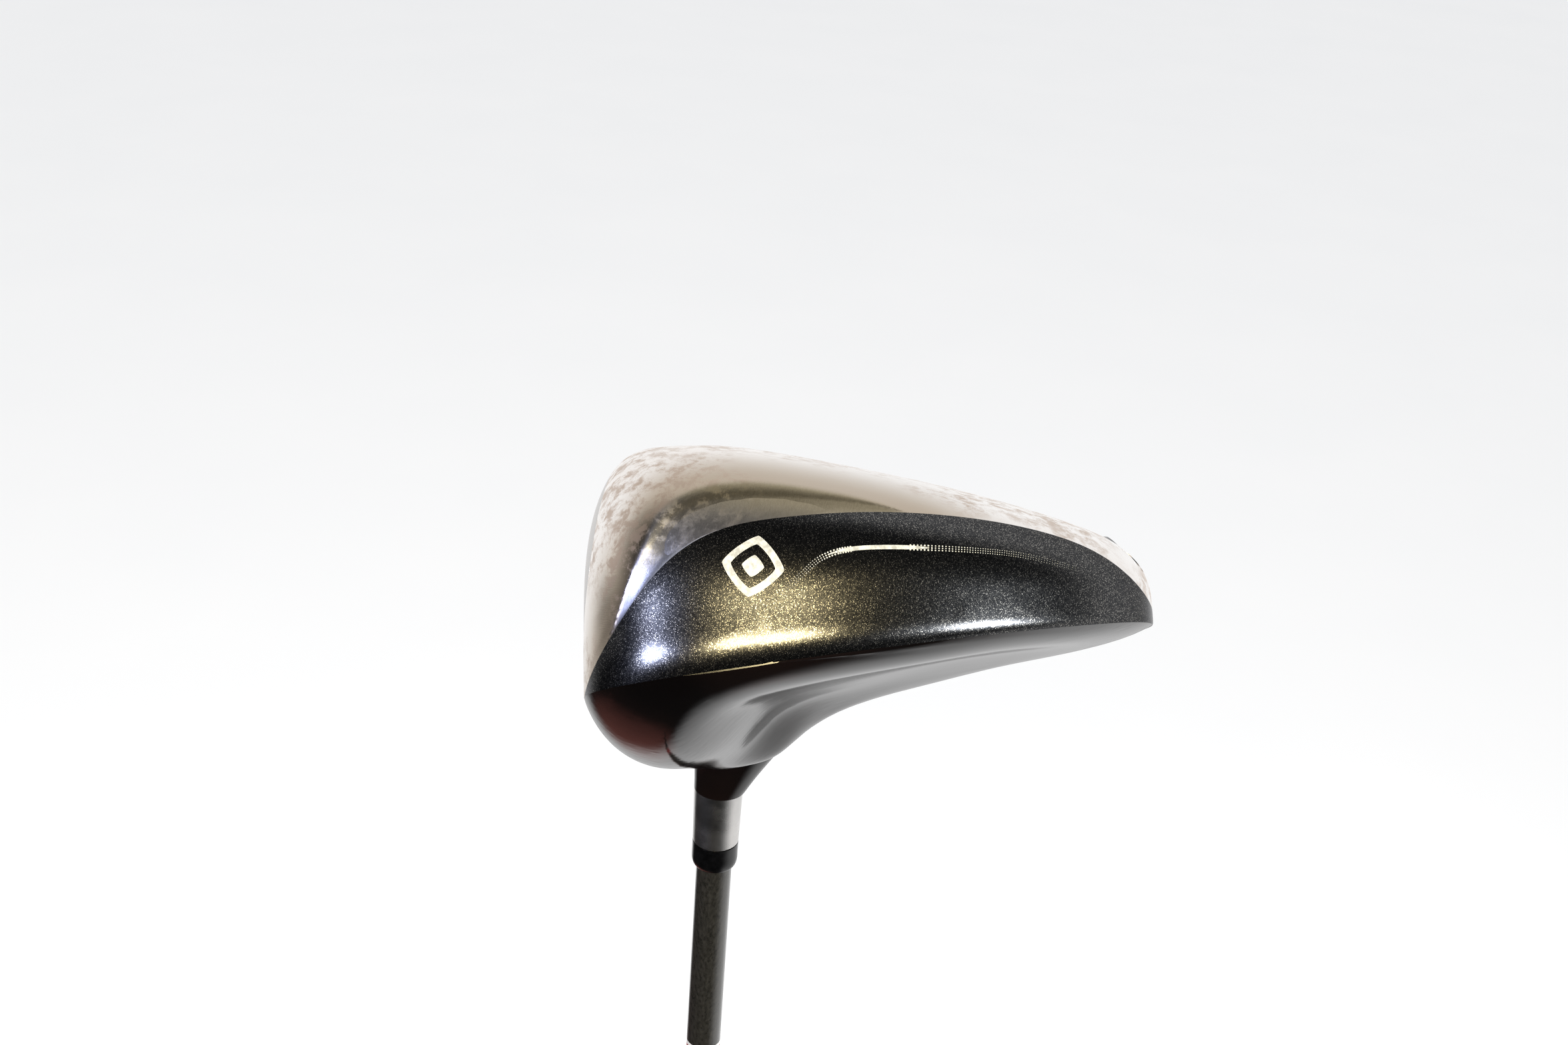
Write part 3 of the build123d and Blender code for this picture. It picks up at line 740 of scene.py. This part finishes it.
# ---- markings on the skirt ----
MARK_HEIGHT = 0.04              # thickness of the printed marks
RAY_START = 110                 # how far to the side of the head's middle the rays start
EMBLEM_MIDDLE = (-20.6, 30.7)
EMBLEM_RADIUS = 5.6
EMBLEM_INNER = 4.0
EMBLEM_HEART = 2.0              # radius of the solid diamond in the middle
EMBLEM_CORE = 0.05              # its innermost row of points
EMBLEM_ROWS = 5                 # rows of points from one outline to the next
EMBLEM_POWER = 1.25             # 1 is a plain diamond, 2 a circle
EMBLEM_POINTS = 72
STRIPE_PATH = (
    (-26.4, 35.0), (-27.9, 32.8), (-29.7, 30.6), (-32.0, 27.8), (-35.8, 25.6), (-42.6, 23.9),
    (-56.4, 21.9), (-67.0, 20.9), (-77.5, 21.2),
)
STRIPE_STEPS = 24               # points to each span of the path
STRIPE_WIDTH = 0.8
STRIPE_TIP = 0.25               # share of that width left at the ends of the solid part
SOLID_PART = (0.20, 0.52)       # share of the stripe's length that is a solid line
TAPER = 4.0                     # length over which the line narrows at its ends
DOT_PITCH = 0.42
DOT_RADIUS = 0.17
DOT_FADE = 0.8                  # share of their radius that the dots lose by the stripe's end
DOT_SIDES = 8


class Surface:
    """The outside of a skirt panel, met by rays from the side."""

    def __init__(self, name, side):
        self.mesh = nodes[name].data
        self.tree = node_tree(name)
        self.side = side
        self.corners = [normal.vector.copy() for normal in self.mesh.corner_normals]

    def raised(self, y, z):
        """Point just above the surface, and the normal there."""
        ray = -HEAD_X * self.side
        hit, _, index, _ = self.tree.ray_cast(placed(self.side * RAY_START, y, z), ray)
        polygon = self.mesh.polygons[index]
        points = [self.mesh.vertices[vertex].co for vertex in polygon.vertices]
        normals = [self.corners[loop] for loop in polygon.loop_indices]
        normal = barycentric_transform(hit, *points, *normals).normalized()
        return hit + normal * MARK_HEIGHT * MM, normal


class Mark:
    """A printed mark, built from strips of points in the side view."""

    def __init__(self, surface):
        self.surface = surface
        self.points = []
        self.normals = []
        self.faces = []

    def row(self, places):
        """Adds points of the side view, and gives their numbers."""
        first = len(self.points)
        for y, z in places:
            point, normal = self.surface.raised(y, z)
            self.points.append(point)
            self.normals.append(normal)
        return list(range(first, len(self.points)))

    def strip(self, rows, closed):
        """Quads between neighbouring rows of the same length."""
        indices = [self.row(places) for places in rows]
        for lower, upper in zip(indices[:-1], indices[1:]):
            ends = zip(lower, lower[1:] + lower[:1], upper[1:] + upper[:1], upper)
            for number, face in enumerate(ends):
                if closed or number < len(lower) - 1:
                    self.faces.append(face)

    def disc(self, y, z, radius):
        """One printed dot."""
        turn = 2 * math.pi / DOT_SIDES
        self.faces.append(self.row(
            (y + radius * math.cos(turn * step), z + radius * math.sin(turn * step))
            for step in range(DOT_SIDES)
        ))

    def finish(self, label, material):
        """Makes the mark a piece, with every face turned outwards."""
        mesh = bpy.data.meshes.new(label)
        faces = []
        for face in self.faces:
            first, second, third = (self.points[index] for index in face[:3])
            outward = (second - first).cross(third - first).dot(self.normals[face[0]]) > 0
            faces.append(face if outward else face[::-1])
        mesh.from_pydata(self.points, [], faces)
        mesh.polygons.foreach_set("use_smooth", [True] * len(mesh.polygons))
        mesh.normals_split_custom_set_from_vertices(self.normals)
        return added(label, mesh, material)


def diamond(radius):
    """Closed outline of the emblem's rounded diamond at this radius."""
    outline = []
    for step in range(EMBLEM_POINTS):
        angle = 2 * math.pi * step / EMBLEM_POINTS
        along, up = math.cos(angle), math.sin(angle)
        outline.append((
            EMBLEM_MIDDLE[0] + math.copysign(radius * abs(along) ** (2 / EMBLEM_POWER), along),
            EMBLEM_MIDDLE[1] + math.copysign(radius * abs(up) ** (2 / EMBLEM_POWER), up),
        ))
    return outline


def spread(low, high, count):
    """Evenly spaced values from low to high, both among them."""
    return [low + (high - low) * step / (count - 1) for step in range(count)]


def smooth_path(stops):
    """Points of a Catmull-Rom curve through the stops."""
    padded = [stops[0], *stops, stops[-1]]
    path = []
    for before, start, end, after in zip(padded, padded[1:], padded[2:], padded[3:]):
        for step in range(STRIPE_STEPS):
            share = step / STRIPE_STEPS
            path.append(tuple(
                0.5 * (2 * s + (e - b) * share + (2 * b - 5 * s + 4 * e - a) * share**2
                       + (3 * s - b - 3 * e + a) * share**3)
                for b, s, e, a in zip(before, start, end, after)
            ))
    return path + [stops[-1]]


def stripe(surface, label, material):
    """Fine line that breaks up into dots at both ends."""
    mark = Mark(surface)
    path = smooth_path(STRIPE_PATH)
    travelled = [0.0]
    for start, end in zip(path[:-1], path[1:]):
        travelled.append(travelled[-1] + math.dist(start, end))
    length = travelled[-1]
    sides = []
    for start, end in zip(path[:-1], path[1:]):
        run = math.dist(start, end)
        sides.append(((start[1] - end[1]) / run, (end[0] - start[0]) / run))
    sides.append(sides[-1])
    solid_from, solid_to = SOLID_PART[0] * length, SOLID_PART[1] * length
    rows = ([], [])
    next_dot = 0.0
    for (y, z), (across, up), place in zip(path, sides, travelled):
        if solid_from <= place <= solid_to:
            taper = min(1.0, (place - solid_from) / TAPER, (solid_to - place) / TAPER)
            half = STRIPE_WIDTH * (STRIPE_TIP + (1 - STRIPE_TIP) * taper) / 2
            rows[0].append((y - across * half, z - up * half))
            rows[1].append((y + across * half, z + up * half))
        if place >= next_dot and not solid_from + TAPER < place < solid_to - TAPER:
            next_dot = place + DOT_PITCH
            past = max((solid_from - place) / solid_from, (place - solid_to) / (length - solid_to))
            size = DOT_RADIUS * (1 - DOT_FADE * max(0.0, past) ** 0.5)
            for row in (-1, 0, 1):
                shift = row * DOT_PITCH
                mark.disc(y + across * shift, z + up * shift, size)
    mark.strip(rows, closed=False)
    return mark.finish(label, material)


print_ink = plastic("mark_ink", (0.24, 0.235, 0.20), 0.42, 900)
toe_side = Surface("toe_panel", 1)
emblem = Mark(toe_side)
for outer, inner in ((EMBLEM_RADIUS, EMBLEM_INNER), (EMBLEM_HEART, EMBLEM_CORE)):
    emblem.strip([diamond(radius) for radius in spread(outer, inner, EMBLEM_ROWS)], closed=True)
emblem.finish("emblem", print_ink)
stripe(toe_side, "toe_stripe", print_ink)
stripe(Surface("heel_panel", -1), "heel_stripe", print_ink)

# ---- grip sleeve with its tread ----
SLEEVE_AROUND = 96
SLEEVE_STEP = 0.8               # rows of the sleeve along the shaft
TREAD_DEPTH = 0.35
TREAD_COUNT = 11                # crossing grooves each way round
TREAD_PITCH = 19.0              # length along the shaft in which a groove passes one diamond pair
TREAD_WIDTH = 0.12              # half width of a groove, as a share of the gap between grooves
TREAD_BANDS = ((20.0, 74.0), (84.0, 146.0), (156.0, 214.0), (224.0, 252.0))
TREAD_FADE = 2.0
RING_GAP = 2.5                  # rings either side of a tread band
RING_WIDTH = 0.8
SLEEVE_CREASE = math.radians(50)


def widest_at(name):
    """Outside radius of a turned node against height, from its own outer faces, in millimetres."""
    mesh = nodes[name].data
    widest = {}
    for polygon in mesh.polygons:
        if polygon.normal.x * polygon.center.x + polygon.normal.y * polygon.center.y <= 0:
            continue
        for index in polygon.vertices:
            place = mesh.vertices[index].co
            height = round(place.z / MM, 2)
            widest[height] = max(widest.get(height, 0.0), math.hypot(place.x, place.y) / MM)
    return sorted(widest.items())


def radius_at(profile, height):
    """Radius from a profile of heights and radii, between its points too."""
    for (low, first), (high, second) in zip(profile[:-1], profile[1:]):
        if low <= height <= high:
            return first + (second - first) * (height - low) / max(high - low, 1e-6)
    return profile[-1][1]


def tread(angle, height):
    """Depth of the tread's grooves and rings, in millimetres."""
    depth = 0.0
    for low, high in TREAD_BANDS:
        inside = min(height - low, high - height)
        if inside > 0:
            for lean in (1, -1):
                turn = (angle / (2 * math.pi) * TREAD_COUNT + lean * height / TREAD_PITCH) % 1
                groove = 1 - abs(turn - 0.5) / TREAD_WIDTH
                depth = max(depth, max(0.0, groove) * min(1.0, inside / TREAD_FADE))
        for ring in (low - RING_GAP, high + RING_GAP):
            depth = max(depth, 1 - abs(height - ring) / RING_WIDTH)
    return TREAD_DEPTH * depth * depth * (3 - 2 * depth)


def bore_at(name, height):
    """Least radius of a turned node near this height, in millimetres."""
    return min(
        math.hypot(vertex.co.x, vertex.co.y) / MM for vertex in nodes[name].data.vertices
        if abs(vertex.co.z / MM - height) < SLEEVE_STEP
    )


def treaded_sleeve(name):
    """Mesh of the sleeve: treaded rows up the outside, and a plain bore back down."""
    profile = widest_at(name)
    low, high = profile[0][0], profile[-1][0]
    rows = round((high - low) / SLEEVE_STEP) + 1
    rings = [(height, radius_at(profile, height), True) for height in spread(low, high, rows)]
    rings += [(height, bore_at(name, height), False) for height in (high, low)]
    points = []
    for height, radius, treaded in rings:
        for step in range(SLEEVE_AROUND):
            angle = 2 * math.pi * step / SLEEVE_AROUND
            reach = radius - (tread(angle, height) if treaded else 0.0)
            points.append((reach * math.cos(angle) * MM, reach * math.sin(angle) * MM, height * MM))
    faces = []
    for ring in range(len(rings)):
        above = (ring + 1) % len(rings)
        for step in range(SLEEVE_AROUND):
            beside = (step + 1) % SLEEVE_AROUND
            faces.append((
                ring * SLEEVE_AROUND + step, ring * SLEEVE_AROUND + beside,
                above * SLEEVE_AROUND + beside, above * SLEEVE_AROUND + step,
            ))
    mesh = bpy.data.meshes.new("sleeve_rubber")
    mesh.from_pydata(points, [], faces)
    mesh.polygons.foreach_set("use_smooth", [True] * len(mesh.polygons))
    mesh.set_sharp_from_angle(angle=SLEEVE_CREASE)
    return mesh


added("sleeve_rubber", treaded_sleeve("grip_sleeve"), rubber_black, "grip_sleeve")


# ---- studio ----
LIGHT_AIM = (0, -35, 30)
FLOOR_REACH = 40.0              # from the middle of the floor to its sides
FLOOR_GAP = 0.001


def soft_light(name, direction, distance, size, power, colour):
    """Round area light that shines on the head from a direction of the head frame."""
    light = bpy.data.lights.new(name, "AREA")
    light.shape = "DISK"
    light.size = size
    light.energy = power
    light.color = colour
    lamp = bpy.data.objects.new(name, light)
    away = turned(*direction).normalized()
    aim = away.to_track_quat("Z", "Y").to_matrix().to_4x4()
    lamp.matrix_world = Matrix.Translation(placed(*LIGHT_AIM) + away * distance) @ aim
    bpy.context.scene.collection.objects.link(lamp)


soft_light("front_light", (0.73, 0.67, 0.15), 1.0, 0.30, 12, (0.66, 0.72, 1.0))
soft_light("camera_light", (1.0, 0.0, 0.04), 1.2, 0.34, 17, (1.0, 0.83, 0.45))
soft_light("rear_light", (0.52, -0.84, 0.12), 1.0, 0.26, 17, (0.93, 0.97, 1.0))

floor_mesh = bpy.data.meshes.new("floor")
floor_level = cad_box[0].z - FLOOR_GAP
corners = ((-1, -1), (1, -1), (1, 1), (-1, 1))
floor_mesh.from_pydata(
    [(x * FLOOR_REACH, y * FLOOR_REACH, floor_level) for x, y in corners], [], [(0, 1, 2, 3)]
)
floor = bpy.data.objects.new("floor", floor_mesh)
bpy.context.scene.collection.objects.link(floor)
floor_shader = Shader("floor_paper", Roughness=0.9)
paper = floor_shader.noise(3, 3, 0.5)
floor_shader.feed("Base Color", floor_shader.mix(paper, (0.87, 0.875, 0.88), (0.90, 0.90, 0.90)))
paint(floor, floor_shader.material)
floor.visible_glossy = False

# The sky is pale all round, but its mirror image is dark on the camera's side, as in a studio
# where the backdrop is lit and the room isn't. Below the head it is dark too, but for a red-brown
# patch behind the head.
world = bpy.data.worlds.new("studio")
bpy.context.scene.world = world
world.use_nodes = True
tree = world.node_tree
background = tree.nodes["Background"]
seen = tree.nodes.new("ShaderNodeLightPath")
direction = tree.nodes.new("ShaderNodeTexCoord")


def facing(towards, low, high, bottom, top):
    """Socket that rises smoothly as the sky's direction turns towards the one given."""
    dot = tree.nodes.new("ShaderNodeVectorMath")
    dot.operation = "DOT_PRODUCT"
    dot.inputs[1].default_value = turned(*towards).normalized()
    tree.links.new(direction.outputs["Generated"], dot.inputs[0])
    fade = tree.nodes.new("ShaderNodeMapRange")
    fade.interpolation_type = "SMOOTHSTEP"
    tree.links.new(dot.outputs["Value"], fade.inputs[0])
    for socket, value in zip(fade.inputs[1:5], (low, high, bottom, top)):
        socket.default_value = value
    return fade.outputs[0]


def combined(kind, operation, first, second):
    """Socket of a two-input node, whose inputs are sockets or constants."""
    node = tree.nodes.new(kind)
    node.operation = operation
    for socket, value in zip(node.inputs, (first, second)):
        if isinstance(value, bpy.types.NodeSocket):
            tree.links.new(value, socket)
        else:
            socket.default_value = value
    return node.outputs[0]


backdrop = facing((-1, 0.1, 0), -0.25, 0.30, 0.035, 1.0)
below = facing((0, 0.5, 0.87), 0.36, 0.62, 1.0, 0.02)
glow = facing((-0.70, 0.30, 0.64), 0.88, 1.0, 0.0, 0.40)
pale = combined("ShaderNodeMath", "MULTIPLY", backdrop, below)
red = combined("ShaderNodeVectorMath", "MULTIPLY", (1.0, 0.33, 0.27), glow)
reflected = combined("ShaderNodeVectorMath", "ADD", pale, red)
mirrored = tree.nodes.new("ShaderNodeMix")
mirrored.data_type = "RGBA"
tree.links.new(seen.outputs["Is Glossy Ray"], mirrored.inputs[0])
tree.links.new(reflected, mirrored.inputs[7])
mirrored.inputs[6].default_value = (0.97, 0.975, 0.985, 1)
tree.links.new(mirrored.outputs[2], background.inputs["Color"])

bpy.context.scene.view_settings.view_transform = "Standard"
